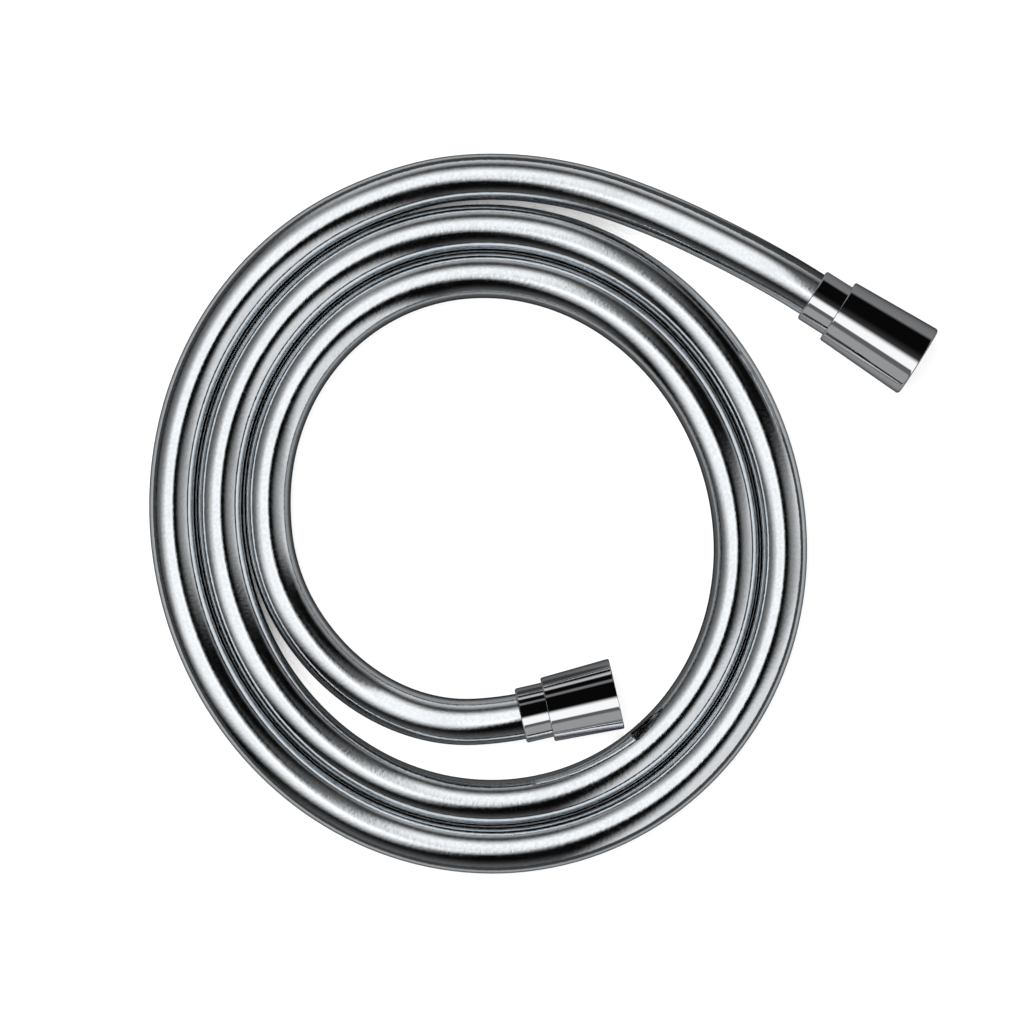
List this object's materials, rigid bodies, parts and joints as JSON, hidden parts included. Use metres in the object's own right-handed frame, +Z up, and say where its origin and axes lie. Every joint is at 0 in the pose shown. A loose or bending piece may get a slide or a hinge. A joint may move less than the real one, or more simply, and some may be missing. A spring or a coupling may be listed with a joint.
{
  "type": "shower hose",
  "caption": "Flexible metal-effect shower hose lying in a flat spiral, with a conical union nut that turns freely at each end.",
  "frame": {"origin": "middle of the footprint, on the surface that the hose lies on", "axes": "+Z up, square to the flat spiral; +X and +Y point right and up as the spiral is seen from above, with the longer nut towards +X and +Y"},
  "size_m": [0.2548, 0.2325, 0.0244],
  "materials": {
    "hose_skin": "clear gloss skin over bright metallised film",
    "chrome_nut": "polished chrome plate",
    "chrome_ferrule": "polished chrome plate",
    "brass": "turned",
    "seal_rubber": "matt",
    "white_plastic": "smooth"
  },
  "bodies": {
    "hose_line": {"hose": "hose_skin", "handset_ferrule": "chrome_ferrule", "handset_insert": "brass", "handset_o_ring": "seal_rubber", "supply_ferrule": "chrome_ferrule", "supply_insert": "brass", "supply_washer": "seal_rubber"},
    "handset_coupling": {"handset_nut": "chrome_nut", "handset_bush": "white_plastic", "handset_washer": "seal_rubber", "handset_slide_ring": "white_plastic"},
    "supply_coupling": {"supply_nut": "chrome_nut"}
  },
  "joints": [
    {"name": "handset_nut_spin", "type": "hinge", "parent": "hose_line", "child": "handset_coupling", "pos_m": [0.1211, 0.0489, 0.0122], "axis": [0.8453, -0.5344, 0], "continuous": true},
    {"name": "supply_nut_spin", "type": "hinge", "parent": "hose_line", "child": "supply_coupling", "pos_m": [0.0236, -0.0582, 0.0116], "axis": [0.974, 0.2267, 0], "continuous": true}
  ]
}
